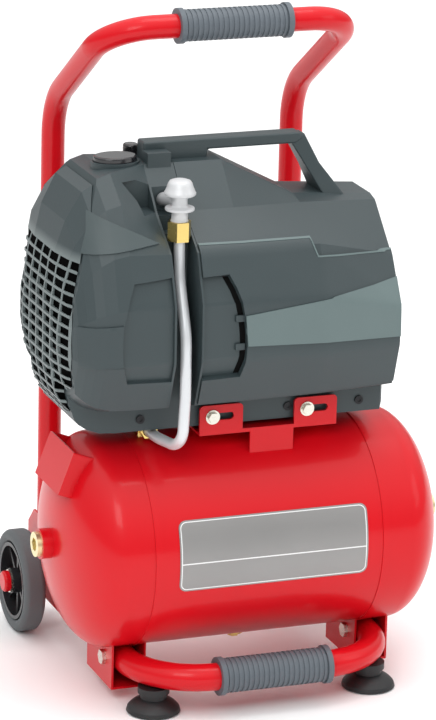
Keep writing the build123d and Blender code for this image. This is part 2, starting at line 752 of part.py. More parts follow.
with BuildPart() as grille_cap:
    add(cover_wall.part)
    add(left_of_cap_edge(0), mode=Mode.INTERSECT)
    with BuildSketch(across(CAP_START - CAP_DEPTH - COVER_WALL)):
        with Locations((COVER_Y, GRILLE_Z)):
            with GridLocations(*GRILLE_PITCH, *GRILLE_GRID):
                Rectangle(GRILLE_PITCH[0] - GRILLE_BAR, GRILLE_PITCH[1] - GRILLE_BAR)
    extrude(amount=CAP_DEPTH, mode=Mode.SUBTRACT)
finish(grille_cap, "grille_cap")

with BuildPart() as cover_left:
    add(cover_wall.part)
    add(left_of_cap_edge(SHELL_GAP), mode=Mode.SUBTRACT)
    block((CHANNEL[1], TANK_TIP), (-BARREL_DEPTH, BARREL_DEPTH), (BELOW, ABOVE), Mode.SUBTRACT)
    add(channel_space.part, mode=Mode.SUBTRACT)
    block((WINDOW_X, CHANNEL[0]), (-BARREL_DEPTH, POCKET_BACK), WINDOW_Z, Mode.SUBTRACT)
    with BuildSketch(level(BUTTON_WELL_Z)):
        with Locations((BUTTON_X, BUTTON_Y)):
            Ellipse(BUTTON_SIZE[0] / 2 + BUTTON_FIT + BEZEL_T, BUTTON_SIZE[1] / 2 + BUTTON_FIT + BEZEL_T)
    extrude(amount=BUTTON_TOP - BUTTON_WELL_Z, mode=Mode.SUBTRACT)
    bore(level(BUTTON_WELL_Z), (KNOB_X, KNOB_Y), STEM_R + STEM_FIT, BUTTON_TOP - BUTTON_WELL_Z)
finish(cover_left, "cover_left")

with BuildPart() as cover_right:
    add(cover_wall.part)
    block(
        (FAR_LEFT, CHANNEL[1] + SHELL_GAP), (-BARREL_DEPTH, BARREL_DEPTH), (BELOW, ABOVE),
        Mode.SUBTRACT,
    )
    block((RIGHT_END, TANK_TIP), (-BARREL_DEPTH, BARREL_DEPTH), (BELOW, ABOVE), Mode.SUBTRACT)
    add(bolt_holes.part, mode=Mode.SUBTRACT)
finish(cover_right, "cover_right")

VENT_SLOT = (110.0, 6.0)
VENT_PITCH = 14.0
VENTS = 8
with BuildPart() as outlet_cap:
    add(cover_wall.part)
    block(
        (FAR_LEFT, RIGHT_END + SHELL_GAP), (-BARREL_DEPTH, BARREL_DEPTH), (BELOW, ABOVE),
        Mode.SUBTRACT,
    )
    with BuildSketch(across(RIGHT_END)):
        with Locations((COVER_Y, COVER_MID_Z)):
            with GridLocations(VENT_PITCH, VENT_PITCH, 1, VENTS):
                SlotOverall(*VENT_SLOT)
    extrude(amount=2 * RIGHT_BULGE, mode=Mode.SUBTRACT)
finish(outlet_cap, "outlet_cap")

HANDLE_X = (-95.0, -33.0, 59.0)
LEG_SECTIONS = (
    (HANDLE_TOP - 1.0, (50.0, 59.0), 17.0),
    (HANDLE_TOP - 29.0, (62.0, 74.0), 26.0),
    (HANDLE_TOP - 63.0, (76.0, 96.0), 44.0),
)
with BuildPart() as carry_handle:
    with BuildSketch(along(HANDLE_Y + HANDLE_D / 2)):
        with BuildLine():
            Polyline(
                (HANDLE_X[0], DECK_Z - 20), (HANDLE_X[0], HANDLE_TOP), (HANDLE_X[2], HANDLE_TOP),
                (HANDLE_X[2], HANDLE_TOP - HANDLE_BAR), (HANDLE_X[1], HANDLE_TOP - HANDLE_BAR),
                (HANDLE_X[1], DECK_Z - 20), close=True,
            )
        make_face()
    extrude(amount=HANDLE_D)
    for height, span, depth in LEG_SECTIONS:
        with BuildSketch(level(height)):
            with Locations(((span[0] + span[1]) / 2, HANDLE_Y)):
                Rectangle(span[1] - span[0], depth)
    loft(ruled=True)
    add(barrel.part, mode=Mode.SUBTRACT)
finish(carry_handle, "carry_handle")

with BuildPart() as cover_clip:
    block(
        (CHANNEL[0] + 3, CHANNEL[1] - 3), (COVER_Y - 11, HANDLE_Y - HANDLE_D / 2),
        (DECK_Z - 16, DECK_Z + 10),
    )
    add(barrel.part, mode=Mode.SUBTRACT)
finish(cover_clip, "cover_clip")

# Button and knob on the deck -----------------------------------------------------------

with BuildPart() as button_bezel:
    with BuildSketch(level(BUTTON_WELL_Z - BEZEL_T)):
        with Locations((BUTTON_X, BUTTON_Y)):
            Ellipse(BUTTON_SIZE[0] / 2 + BUTTON_FIT + BEZEL_T, BUTTON_SIZE[1] / 2 + BUTTON_FIT + BEZEL_T)
    extrude(amount=DECK_Z + BEZEL_T - BUTTON_WELL_Z + BEZEL_T)
    with BuildSketch(level(BUTTON_WELL_Z)):
        with Locations((BUTTON_X, BUTTON_Y)):
            Ellipse(BUTTON_SIZE[0] / 2 + BUTTON_FIT, BUTTON_SIZE[1] / 2 + BUTTON_FIT)
    extrude(amount=BUTTON_TOP, mode=Mode.SUBTRACT)
finish(button_bezel, "button_bezel")

with BuildPart() as switch_button:
    with BuildSketch(level(BUTTON_WELL_Z + BUTTON_TRAVEL + 1)):
        with Locations((BUTTON_X, BUTTON_Y)):
            Ellipse(BUTTON_SIZE[0] / 2, BUTTON_SIZE[1] / 2)
    extrude(amount=BUTTON_TOP - BUTTON_WELL_Z - BUTTON_TRAVEL - 1)
    fillet(switch_button.faces().sort_by(Axis.Z)[-1].edges(), 2)
finish(switch_button, "switch_button")

SWITCH_BODY = (30.0, 20.0)
with BuildPart() as switch_body:
    block(
        (BUTTON_X - SWITCH_BODY[0] / 2, BUTTON_X + SWITCH_BODY[0] / 2),
        (BUTTON_Y - SWITCH_BODY[1] / 2, BUTTON_Y + SWITCH_BODY[1] / 2),
        (HEAD_TOP + 1, BUTTON_WELL_Z - BEZEL_T),
    )
finish(switch_body, "switch_body")

KNOB_BOTTOM = DECK_Z + 0.5
with BuildPart() as regulator_knob:
    rod(level(KNOB_BOTTOM), (KNOB_X, KNOB_Y), KNOB_R, KNOB_TOP - KNOB_BOTTOM)
    fillet(regulator_knob.faces().sort_by(Axis.Z)[-1].edges(), KNOB_R / 3)
    with BuildSketch(level(KNOB_BOTTOM)):
        with Locations((KNOB_X, KNOB_Y)):
            with PolarLocations(KNOB_R, 10):
                Circle(0.6)
    extrude(amount=KNOB_TOP - KNOB_BOTTOM - 3, mode=Mode.SUBTRACT)
    rod(level(BUTTON_WELL_Z), (KNOB_X, KNOB_Y), STEM_R, KNOB_BOTTOM - BUTTON_WELL_Z)
finish(regulator_knob, "regulator_knob")

# Pump cradle: a bent sheet saddle welded on the tank, with four slotted tabs -----------------

CRADLE_FACES = ((CRADLE_Y[0], -1), (CRADLE_Y[1], 1))

with BuildPart() as pump_cradle:
    block(CRADLE_X, CRADLE_Y, (CRADLE_Z - CRADLE_T, CRADLE_Z))
    for y, out in CRADLE_FACES:
        thick = sorted((y, y + out * CRADLE_T))
        block(CRADLE_X, thick, (CRADLE_Z - CRADLE_T, CRADLE_Z + 1))
        block(LEG_X, thick, (TANK_Z, CRADLE_Z))
        for x in TAB_X:
            with BuildSketch(along(thick[1])):
                with Locations((x, (CRADLE_Z + TAB_TOP) / 2)):
                    RectangleRounded(TAB_W, TAB_TOP - CRADLE_Z + 4, 4)
                with Locations((x, SLOT_Z)):
                    SlotOverall(SLOT_L, 2 * (BOLT_R + SLOT_FIT), mode=Mode.SUBTRACT)
            extrude(amount=CRADLE_T)
    add(tank_outside.part, mode=Mode.SUBTRACT)
with BuildPart() as cradle_trimmed:
    add(pump_cradle.part.solids().sort_by(Axis.Z)[-1])
finish(cradle_trimmed, "pump_cradle")

STRIP_Y = (COVER_Y - CAP_OUTLINE[0][0], COVER_Y + CAP_OUTLINE[0][0])

with BuildPart() as rubber_mounts:
    for spot in MOUNT_SPOTS:
        for y, out in CRADLE_FACES:
            rod(along(y), spot, MOUNT_R, out * MOUNT_T)
            bore(along(y), spot, BOLT_R, out * MOUNT_T)
finish(rubber_mounts, "rubber_mounts")

BASE_Z = (COVER_BOTTOM + COVER_WALL + BASE_LIFT, COVER_BOTTOM + COVER_WALL + BASE_LIFT + BASE_T)
BASE_Y = (STRIP_Y[0] + COVER_WALL + BASE_LIFT, STRIP_Y[1] - COVER_WALL - BASE_LIFT)
STRIP_TOP = CAP_OUTLINE[1][1] - COVER_WALL
HOUSING_R = STATOR_R + HOUSING_T
SHIELD_X = (STATOR_X[0] - COIL_OUT - SHIELD_T - 1, STATOR_X[1] + COIL_OUT + 1)
SADDLE_Y = (COVER_Y - HOUSING_R * 0.55, COVER_Y + HOUSING_R * 0.55)
with BuildPart() as pump_base:
    block((SHIELD_X[0], CRADLE_X[1]), BASE_Y, BASE_Z)
    for y in (BASE_Y[0], BASE_Y[1] - BASE_T):
        block(CRADLE_X, (y, y + BASE_T), (BASE_Z[0], STRIP_TOP - BASE_LIFT))
    for x in SHIELD_X:
        block((x, x + SHIELD_T), SADDLE_Y, (BASE_Z[1], SHAFT_Z - HOUSING_R / 2))
    bore(across(FAR_LEFT), (COVER_Y, SHAFT_Z), HOUSING_R, -2 * FAR_LEFT)
    for spot in MOUNT_SPOTS:
        bore(along(2 * CRADLE_Y[0]), spot, BOLT_R, -8 * CRADLE_Y[1])
finish(pump_base, "pump_base")

with BuildPart() as cradle_bolts:
    for spot in MOUNT_SPOTS:
        for (y, out), inner_y in zip(CRADLE_FACES, (BASE_Y[0] + BASE_T, BASE_Y[1] - BASE_T)):
            face = y + out * CRADLE_T
            rod(along(inner_y), spot, BOLT_R, inner_y - face)
            rod(along(face), spot, BOLT_HEAD + 1.5, -out)
            with BuildSketch(along(face + out)):
                with Locations(spot):
                    RegularPolygon(BOLT_HEAD, 6)
            extrude(amount=-out * BOLT_HEAD_T)

with BuildPart() as hex_bolts:
    add(frame_bolts.part)
    add(cradle_bolts.part)
finish(hex_bolts, "hex_bolts")

# Motor: housing, stator, coils, end shields and bearings ------------------------------------

SHAFT_SPOT = (COVER_Y, SHAFT_Z)
HOUSING_X = (SHIELD_X[0] + SHIELD_T, SHIELD_X[1])

with BuildPart() as motor_housing:
    rod(across(HOUSING_X[0]), SHAFT_SPOT, HOUSING_R, HOUSING_X[1] - HOUSING_X[0])
    bore(across(HOUSING_X[0]), SHAFT_SPOT, STATOR_R, HOUSING_X[1] - HOUSING_X[0])
finish(motor_housing, "motor_housing")

with BuildPart() as motor_stator:
    rod(across(STATOR_X[0]), SHAFT_SPOT, STATOR_R, STATOR_X[1] - STATOR_X[0])
    bore(across(STATOR_X[0]), SHAFT_SPOT, ROTOR_R + AIR_GAP, STATOR_X[1] - STATOR_X[0])
finish(motor_stator, "motor_stator")

with BuildPart() as motor_coils:
    for x in (STATOR_X[0] - COIL_OUT, STATOR_X[1]):
        rod(across(x), SHAFT_SPOT, STATOR_R - 8, COIL_OUT)
        bore(across(x), SHAFT_SPOT, ROTOR_R + 6, COIL_OUT)
finish(motor_coils, "motor_coils")

with BuildPart() as end_shields:
    for x in SHIELD_X:
        rod(across(x), SHAFT_SPOT, HOUSING_R, SHIELD_T)
        bore(across(x), SHAFT_SPOT, BEARING_R, SHIELD_T)
finish(end_shields, "end_shields")

with BuildPart() as motor_bearings:
    for x in SHIELD_X:
        rod(across(x), SHAFT_SPOT, BEARING_R, SHIELD_T)
        bore(across(x), SHAFT_SPOT, SHAFT_R + SHAFT_FIT, SHIELD_T)
finish(motor_bearings, "motor_bearings")

with BuildPart() as capacitor:
    rod(across(-35), (COVER_Y + 6, SHAFT_Z + HOUSING_R + 19), 17, 70)
finish(capacitor, "capacitor")

# Turning group: shaft, rotor, fan and crank disc ------------------------------------------

with BuildPart() as motor_shaft:
    rod(across(SHAFT_X[0]), SHAFT_SPOT, SHAFT_R, SHAFT_X[1] - SHAFT_X[0])
finish(motor_shaft, "motor_shaft")

with BuildPart() as rotor:
    rod(across(STATOR_X[0]), SHAFT_SPOT, ROTOR_R, STATOR_X[1] - STATOR_X[0])
    bore(across(STATOR_X[0]), SHAFT_SPOT, SHAFT_R, STATOR_X[1] - STATOR_X[0])
finish(rotor, "rotor")

with BuildPart() as cooling_fan:
    rod(across(FAN_X), SHAFT_SPOT, FAN_HUB, FAN_W)
    with BuildSketch(across(FAN_X + 1)):
        with Locations(SHAFT_SPOT):
            with PolarLocations((FAN_HUB + FAN_R) / 2 - 2, BLADES):
                Rectangle(FAN_R - FAN_HUB + 4, BLADE_T, rotation=BLADE_LEAN)
    extrude(amount=FAN_W - 2)
    bore(across(FAN_X), SHAFT_SPOT, SHAFT_R, FAN_W)
finish(cooling_fan, "cooling_fan")

CRANK_SPOT = (COVER_Y, SHAFT_Z + CRANK_OFFSET)
CRANK_START = CRANK_X - CRANK_W / 2
with BuildPart() as crank_disc:
    rod(across(CRANK_START), CRANK_SPOT, CRANK_R, CRANK_W + CRANK_GAP)
    with BuildSketch(across(CRANK_START + CRANK_W + CRANK_GAP)):
        with Locations(SHAFT_SPOT):
            Circle(CRANK_R * 2)
            with Locations((0, CRANK_R * 2)):
                Rectangle(CRANK_R * 5, CRANK_R * 4, mode=Mode.SUBTRACT)
            Circle(CRANK_R)
    extrude(amount=CRANK_W / 2)
    bore(across(CRANK_START), SHAFT_SPOT, SHAFT_R, 2 * CRANK_W)
finish(crank_disc, "crank_disc")

# Rocking piston: bearing, rod with its piston, and the cup seal --------------------------------

with BuildPart() as crank_bearing:
    rod(across(CRANK_START), CRANK_SPOT, BIG_BEARING_R, CRANK_W)
    bore(across(CRANK_START), CRANK_SPOT, CRANK_R + SHAFT_FIT, CRANK_W)
finish(crank_bearing, "crank_bearing")

PISTON_Z = CYLINDER_Z[1] - HEAD_PLAY - SEAL_T
with BuildPart() as piston_rod:
    rod(across(CRANK_START), CRANK_SPOT, BIG_BEARING_R + ROD_RING, CRANK_W)
    block(
        (CRANK_X - ROD_WEB / 2, CRANK_X + ROD_WEB / 2),
        (COVER_Y - ROD_WEB, COVER_Y + ROD_WEB),
        (SHAFT_Z + CRANK_OFFSET + BIG_BEARING_R + ROD_RING / 2, PISTON_Z - PISTON_T),
    )
    rod(level(PISTON_Z - PISTON_T), (CRANK_X, COVER_Y), PISTON_R, PISTON_T)
    bore(across(CRANK_START), CRANK_SPOT, BIG_BEARING_R, CRANK_W)
finish(piston_rod, "piston_rod")

with BuildPart() as piston_seal:
    rod(level(PISTON_Z), (CRANK_X, COVER_Y), SEAL_R, SEAL_T)
finish(piston_seal, "piston_seal")

# Crankcase, cylinder, valve plate and head -------------------------------------------------

CYLINDER_R = SEAL_R + CRANK_OFFSET + SIDE_PLAY
with BuildPart() as crankcase:
    block(CASE_X, (COVER_Y - CASE_HALF, COVER_Y + CASE_HALF), (CASE_BOTTOM, CYLINDER_Z[0]))
    block(
        (CASE_X[0] + CASE_WALL, CASE_X[1] - CASE_WALL),
        (COVER_Y - CASE_HALF + CASE_WALL, COVER_Y + CASE_HALF - CASE_WALL),
        (CASE_BOTTOM + CASE_WALL, CYLINDER_Z[0] - CASE_WALL), Mode.SUBTRACT,
    )
    bore(level(CYLINDER_Z[0] - 2 * CASE_WALL), (CRANK_X, COVER_Y), CYLINDER_R, 2 * CASE_WALL)
    bore(across(CASE_X[0]), SHAFT_SPOT, SHAFT_R + 1, CASE_X[1] - CASE_X[0])
finish(crankcase, "crankcase")

with BuildPart() as cylinder:
    rod(level(CYLINDER_Z[0]), (CRANK_X, COVER_Y), CYLINDER_R + CYLINDER_T, CYLINDER_Z[1] - CYLINDER_Z[0])
    fin_pitch = (CYLINDER_Z[1] - CYLINDER_Z[0]) / FINS
    for number in range(FINS):
        rod(
            level(CYLINDER_Z[0] + number * fin_pitch), (CRANK_X, COVER_Y),
            CYLINDER_R + CYLINDER_T + FIN_OUT, fin_pitch / 3,
        )
    bore(level(CYLINDER_Z[0]), (CRANK_X, COVER_Y), CYLINDER_R, CYLINDER_Z[1] - CYLINDER_Z[0])
finish(cylinder, "cylinder")

with BuildPart() as valve_plate:
    block(HEAD_X, HEAD_Y, (CYLINDER_Z[1], CYLINDER_Z[1] + VALVE_PLATE_T))
    for x in (-10, 10):
        bore(level(CYLINDER_Z[1]), (CRANK_X + x, COVER_Y), 3, VALVE_PLATE_T)
finish(valve_plate, "valve_plate")

HEAD_BOTTOM = CYLINDER_Z[1] + VALVE_PLATE_T
HEAD_SCREWS = [(x, y) for x in (HEAD_X[0] + 6, HEAD_X[1] - 6) for y in (HEAD_Y[0] + 6, HEAD_Y[1] - 6)]
with BuildPart() as cylinder_head:
    block(HEAD_X, HEAD_Y, (HEAD_BOTTOM, HEAD_TOP))
    block(
        (CRANK_X - 22, CRANK_X - 2), (HEAD_Y[0] + 10, HEAD_Y[1] - 10),
        (HEAD_BOTTOM, HEAD_TOP - 6), Mode.SUBTRACT,
    )
    block(
        (CRANK_X + 2, CRANK_X + 24), (HEAD_Y[0] + 10, HEAD_Y[1] - 10),
        (HEAD_BOTTOM, HEAD_TOP - 6), Mode.SUBTRACT,
    )
    bore(along(HEAD_Y[0]), (SUCTION_X, PORT_Z), PIPE_R - PIPE_WALL, -14)
finish(cylinder_head, "cylinder_head")

with BuildPart() as head_screws:
    for spot in HEAD_SCREWS:
        rod(level(HEAD_TOP), spot, 4, 3)
        with BuildSketch(level(HEAD_TOP + 3)):
            with Locations(spot):
                RegularPolygon(2, 6)
        extrude(amount=-1.5, mode=Mode.SUBTRACT)

with BuildPart() as exhaust_silencer:
    rod(across(HEAD_X[0]), (COVER_Y + 4, PORT_Z), 5, -6)
    rod(across(HEAD_X[0] - 6), (COVER_Y + 4, PORT_Z), 9, -14)
finish(exhaust_silencer, "exhaust_silencer")

# Suction elbow, its nuts, suction pipe and check valve ---------------------------------------------

ELBOW_NECK_R = 6.8
CAP_RIM_R = 14.0
CAP_CROWN_R = 10.5
FLANGE_R = 13.3
FLANGE_Z = (NUT_Z[1] + 10.0, NUT_Z[1] + 12.5)
ARM_R = PIPE_R + 1
CAP_Z = (ELBOW_Z - 3.5, ELBOW_Z - 1.5, ELBOW_Z + 7.0, ELBOW_Z + 11.0)
with BuildPart() as suction_elbow:
    rod(level(NUT_Z[1] - 4), (SUCTION_X, SUCTION_Y), ELBOW_NECK_R, CAP_Z[0] - NUT_Z[1] + 4)
    rod(level(FLANGE_Z[0]), (SUCTION_X, SUCTION_Y), FLANGE_R, FLANGE_Z[1] - FLANGE_Z[0])
    with BuildSketch(along(SUCTION_Y)):
        with BuildLine():
            Polyline(
                (SUCTION_X, CAP_Z[3]), (SUCTION_X, CAP_Z[0]), (SUCTION_X + CAP_RIM_R, CAP_Z[0]),
                (SUCTION_X + CAP_RIM_R, CAP_Z[1]), (SUCTION_X + CAP_CROWN_R, CAP_Z[2]),
                (SUCTION_X + CAP_CROWN_R / 2, CAP_Z[3]), close=True,
            )
        make_face()
    revolve(axis=Axis(place(SUCTION_X, SUCTION_Y, 0), (0, 0, 1)))
    arm = Vector(0, HEAD_Y[0] + PIPE_R - SUCTION_Y, PORT_Z - FLANGE_Z[1] - ARM_R)
    arm_plane = Plane(
        origin=place(SUCTION_X, SUCTION_Y, FLANGE_Z[1] + ARM_R), x_dir=(1, 0, 0), z_dir=arm,
    )
    rod(arm_plane, (0, 0), ARM_R, arm.length)
    block((FAR_LEFT, 0), (HEAD_Y[0], BARREL_DEPTH), (BELOW, ABOVE), Mode.SUBTRACT)
    bore(arm_plane, (0, 0), PIPE_R - PIPE_WALL, arm.length)
    bore(level(BELOW), (SUCTION_X, SUCTION_Y), PIPE_R - PIPE_WALL, FLANGE_Z[1] + ARM_R - BELOW)
finish(suction_elbow, "suction_elbow")

PIPE_POINTS = [
    place(SUCTION_X, SUCTION_Y, NUT_Z[1] - 6), place(SUCTION_X, SUCTION_Y - 3, NUT_Z[0] - 33.5),
    place(SUCTION_X, PIPE_LOW_Y, NUT_Z[0] - 83.5), place(SUCTION_X, PIPE_LOW_Y - 1, NUT_Z[0] - 138.5),
    place(SUCTION_X - 1, PIPE_LOW_Y + 2, PIPE_LOW_Z + 1), place(VALVE_X, VALVE_Y - 36, PIPE_LOW_Z),
    place(VALVE_X, VALVE_Y - VALVE_R, PIPE_LOW_Z),
]
PIPE_BENDS = [60.0, 60.0, 60.0, 20.0, 60.0]
with BuildPart() as suction_pipe:
    with BuildLine() as pipe_path:
        FilletPolyline(*PIPE_POINTS, radius=PIPE_BENDS)
    with BuildSketch(Plane(origin=pipe_path.line @ 0, z_dir=pipe_path.line % 0)):
        Circle(PIPE_R)
        Circle(PIPE_R - PIPE_WALL, mode=Mode.SUBTRACT)
    sweep()
finish(suction_pipe, "suction_pipe")

NUT_THREAD = 6.0
NUT_FIT = 0.8
with BuildPart() as pipe_nuts:
    with BuildSketch(level(NUT_Z[0])):
        with Locations((SUCTION_X, SUCTION_Y)):
            RegularPolygon(NUT_AF / 2, 6, major_radius=False)
    extrude(amount=NUT_Z[1] - NUT_Z[0])
    bore(level(NUT_Z[0]), (SUCTION_X, SUCTION_Y), PIPE_R + NUT_FIT, NUT_Z[1] - NUT_Z[0] - NUT_THREAD)
    bore(level(NUT_Z[1] - NUT_THREAD), (SUCTION_X, SUCTION_Y), ELBOW_NECK_R, NUT_THREAD)
    with BuildSketch(along(VALVE_Y - VALVE_R)):
        with Locations((VALVE_X, PIPE_LOW_Z)):
            RegularPolygon(VALVE_R - 0.5, 6, major_radius=False)
    extrude(amount=LOW_NUT_L)
    bore(along(VALVE_Y - VALVE_R), (VALVE_X, PIPE_LOW_Z), PIPE_R + NUT_FIT, LOW_NUT_L)
finish(pipe_nuts, "pipe_nuts")

with BuildPart() as check_valve:
    block(
        (VALVE_X - VALVE_R, VALVE_X + VALVE_R), (VALVE_Y - VALVE_R, VALVE_Y + VALVE_R),
        (TANK_Z, VALVE_TOP),
    )
    add(tank_outside.part, mode=Mode.SUBTRACT)
    bore(along(VALVE_Y), (VALVE_X, PIPE_LOW_Z), PIPE_R - PIPE_WALL, 2 * VALVE_R)
with BuildPart() as valve_trimmed:
    add(check_valve.part.solids().sort_by(Axis.Z)[-1])
finish(valve_trimmed, "check_valve")

# Small pieces on the cover ---------------------------------------------------------------

GLAND_X = -120.0
GLAND_Z = TANK_TOP + 25.5
with BuildPart() as cable_gland:
    rod(along(STRIP_Y[1]), (GLAND_X, GLAND_Z), 8, -12)
    bore(along(STRIP_Y[1]), (GLAND_X, GLAND_Z), 4, -12)
finish(cable_gland, "cable_gland")

SCREW_X = (-150.0, -112.0, 30.0, 100.0)
with BuildPart() as cover_screws:
    for x in SCREW_X[1:]:
        for y, out in zip(STRIP_Y, (1, -1)):
            if (x, out) != (SCREW_X[1], -1):
                rod(along(y), (x, GLAND_Z), 4, out * 1.5)
                bore(along(y - out * 0.8), (x, GLAND_Z), 1.8, out * 1.5)

with BuildPart() as socket_screws:
    add(head_screws.part)
    add(cover_screws.part)
finish(socket_screws, "socket_screws")
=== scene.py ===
from math import cos, pi, radians, sin

import bmesh
import bpy
from mathutils import Matrix, Vector
from mathutils.bvhtree import BVHTree


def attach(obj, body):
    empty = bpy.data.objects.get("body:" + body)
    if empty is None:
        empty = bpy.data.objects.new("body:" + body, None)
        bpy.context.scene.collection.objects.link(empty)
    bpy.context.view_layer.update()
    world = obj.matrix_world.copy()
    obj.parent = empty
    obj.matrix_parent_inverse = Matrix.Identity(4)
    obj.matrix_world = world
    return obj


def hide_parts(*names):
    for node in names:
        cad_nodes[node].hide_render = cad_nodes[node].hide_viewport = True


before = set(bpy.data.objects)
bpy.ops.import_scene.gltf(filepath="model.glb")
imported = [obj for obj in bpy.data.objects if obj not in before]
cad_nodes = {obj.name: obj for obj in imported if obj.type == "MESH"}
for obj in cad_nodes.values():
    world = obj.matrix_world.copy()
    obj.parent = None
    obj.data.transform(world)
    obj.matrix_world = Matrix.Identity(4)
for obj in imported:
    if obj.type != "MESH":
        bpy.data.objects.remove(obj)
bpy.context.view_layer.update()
scene = bpy.context.scene

MM = 0.001
TANK_Y = -44.65
TANK_Z = 143.5
TANK_R = 100.0
COVER_Y = 4.0
MID_Z = 350.0

# Materials ---------------------------------------------------------------------------------


BROAD_SCALE = 14
RELIEF_DEPTH = 0.0006
BLEND_HALF = 0.004


def material(
    name, colour, roughness, metallic=0.0, coat=0.0, grain=600.0, bump=0.1, shift=0.12,
    rough_shift=0.08, stretch=(1, 1, 1), coat_roughness=0.08, specular=0.5,
):
    """A procedural material: noise varies its colour and roughness and gives it a fine relief."""
    made = bpy.data.materials.new(name)
    made.use_nodes = True
    tree = made.node_tree
    shader = tree.nodes["Principled BSDF"]
    shader.inputs["Metallic"].default_value = metallic
    shader.inputs["Coat Weight"].default_value = coat
    shader.inputs["Coat Roughness"].default_value = coat_roughness
    shader.inputs["Specular IOR Level"].default_value = specular
    where = tree.nodes.new("ShaderNodeTexCoord")
    mapping = tree.nodes.new("ShaderNodeMapping")
    mapping.inputs["Scale"].default_value = stretch
    tree.links.new(where.outputs["Object"], mapping.inputs["Vector"])
    fine = tree.nodes.new("ShaderNodeTexNoise")
    fine.inputs["Scale"].default_value = grain
    fine.inputs["Detail"].default_value = 3
    tree.links.new(mapping.outputs["Vector"], fine.inputs["Vector"])
    broad = tree.nodes.new("ShaderNodeTexNoise")
    broad.inputs["Scale"].default_value = BROAD_SCALE
    broad.inputs["Detail"].default_value = 4
    tree.links.new(where.outputs["Object"], broad.inputs["Vector"])
    ramp = tree.nodes.new("ShaderNodeMix")
    ramp.data_type = "RGBA"
    ramp.inputs["A"].default_value = (*[c * (1 - shift) for c in colour], 1)
    ramp.inputs["B"].default_value = (*[min(1, c * (1 + shift)) for c in colour], 1)
    tree.links.new(broad.outputs["Fac"], ramp.inputs["Factor"])
    tree.links.new(ramp.outputs["Result"], shader.inputs["Base Color"])
    spread = tree.nodes.new("ShaderNodeMapRange")
    spread.inputs["To Min"].default_value = max(0.02, roughness - rough_shift)
    spread.inputs["To Max"].default_value = roughness + rough_shift
    tree.links.new(fine.outputs["Fac"], spread.inputs["Value"])
    tree.links.new(spread.outputs["Result"], shader.inputs["Roughness"])
    relief = tree.nodes.new("ShaderNodeBump")
    relief.inputs["Strength"].default_value = bump
    relief.inputs["Distance"].default_value = RELIEF_DEPTH
    tree.links.new(fine.outputs["Fac"], relief.inputs["Height"])
    tree.links.new(relief.outputs["Normal"], shader.inputs["Normal"])
    return made


def darker_above(made, height, colour):
    """Gives a material another colour above a height, with a soft change between them."""
    tree = made.node_tree
    base = tree.nodes["Principled BSDF"].inputs["Base Color"]
    old = base.links[0].from_socket
    where = tree.nodes.new("ShaderNodeTexCoord")
    split = tree.nodes.new("ShaderNodeSeparateXYZ")
    tree.links.new(where.outputs["Object"], split.inputs["Vector"])
    band = tree.nodes.new("ShaderNodeMapRange")
    band.inputs["From Min"].default_value = height - BLEND_HALF
    band.inputs["From Max"].default_value = height + BLEND_HALF
    tree.links.new(split.outputs["Z"], band.inputs["Value"])
    blend = tree.nodes.new("ShaderNodeMix")
    blend.data_type = "RGBA"
    tree.links.new(band.outputs["Result"], blend.inputs["Factor"])
    tree.links.new(old, blend.inputs["A"])
    blend.inputs["B"].default_value = (*colour, 1)
    tree.links.new(blend.outputs["Result"], base)


COVER_COLOUR = (0.034, 0.050, 0.054)
GRILLE_TOP_Z = 0.428

RED = material(
    "red_paint", (0.62, 0.004, 0.010), 0.3, coat=0.2, grain=900, bump=0.01, shift=0.03,
    rough_shift=0.03, specular=0.2,
)
PLASTIC = material("cover_plastic", COVER_COLOUR, 0.46, grain=900, bump=0.16, shift=0.08)
# A lighter copy of the cover plastic: painted light on a facet that faces the lamps.
PLASTIC_PAINTED_FACET_LIGHT = material("cover_plastic_painted_facet_light", (0.052, 0.072, 0.075), 0.48, grain=900, bump=0.16)
# A much lighter copy of the cover plastic: a painted highlight for lit edges and the wedge's lit
# face.
PLASTIC_PAINTED_HIGHLIGHT = material("cover_plastic_painted_highlight", (0.115, 0.160, 0.160), 0.5, grain=900, bump=0.16)
# Near-black with almost no shine: painted shade for the gap beside the right inset.
PAINTED_GAP_SHADE = material("painted_pocket_shade", (0.003, 0.003, 0.003), 0.9, grain=900, bump=0.2, specular=0.1)
GRILLE = material("grille_plastic", (0.15, 0.18, 0.18), 0.45, grain=900, bump=0.12)
# Near-black with almost no shine: painted shade behind the grille holes.
GRILLE_PAINTED_SHADE = material("painted_grille_shade", (0.002, 0.002, 0.002), 0.95, grain=900, bump=0.3, specular=0.02)
GLOSS_BLACK = material("gloss_black", (0.012, 0.012, 0.014), 0.16, coat=0.4, grain=300, bump=0.02)
BLACK_RUBBER = material("black_rubber", (0.012, 0.013, 0.014), 0.5, grain=700, bump=0.25)
GRIP = material("grip_rubber", (0.105, 0.125, 0.145), 0.55, grain=800, bump=0.25)
TYRE = material("tyre_rubber", (0.10, 0.11, 0.115), 0.7, grain=900, bump=0.3)
RIM = material("rim_plastic", (0.014, 0.015, 0.017), 0.35, grain=500, bump=0.1)
ZINC = material("zinc_plate", (0.72, 0.70, 0.62), 0.28, metallic=1.0, grain=260, bump=0.06)
STEEL = material("machined_steel", (0.55, 0.55, 0.56), 0.3, metallic=1.0, grain=240, bump=0.1)
LAMINATION = material(
    "lamination", (0.16, 0.16, 0.17), 0.45, metallic=0.8, grain=400, bump=0.3, stretch=(6, 1, 1),
)
BLACK_OXIDE = material("black_oxide", (0.02, 0.02, 0.022), 0.4, metallic=0.6, grain=300, bump=0.08)
COPPER = material("copper_winding", (0.62, 0.26, 0.1), 0.35, metallic=0.9, grain=300, bump=0.4)
CAST = material("cast_aluminium", (0.6, 0.61, 0.62), 0.48, metallic=0.9, grain=350, bump=0.3)
PIPE = material("drawn_aluminium", (0.66, 0.68, 0.70), 0.34, metallic=0.35, grain=300, bump=0.04)
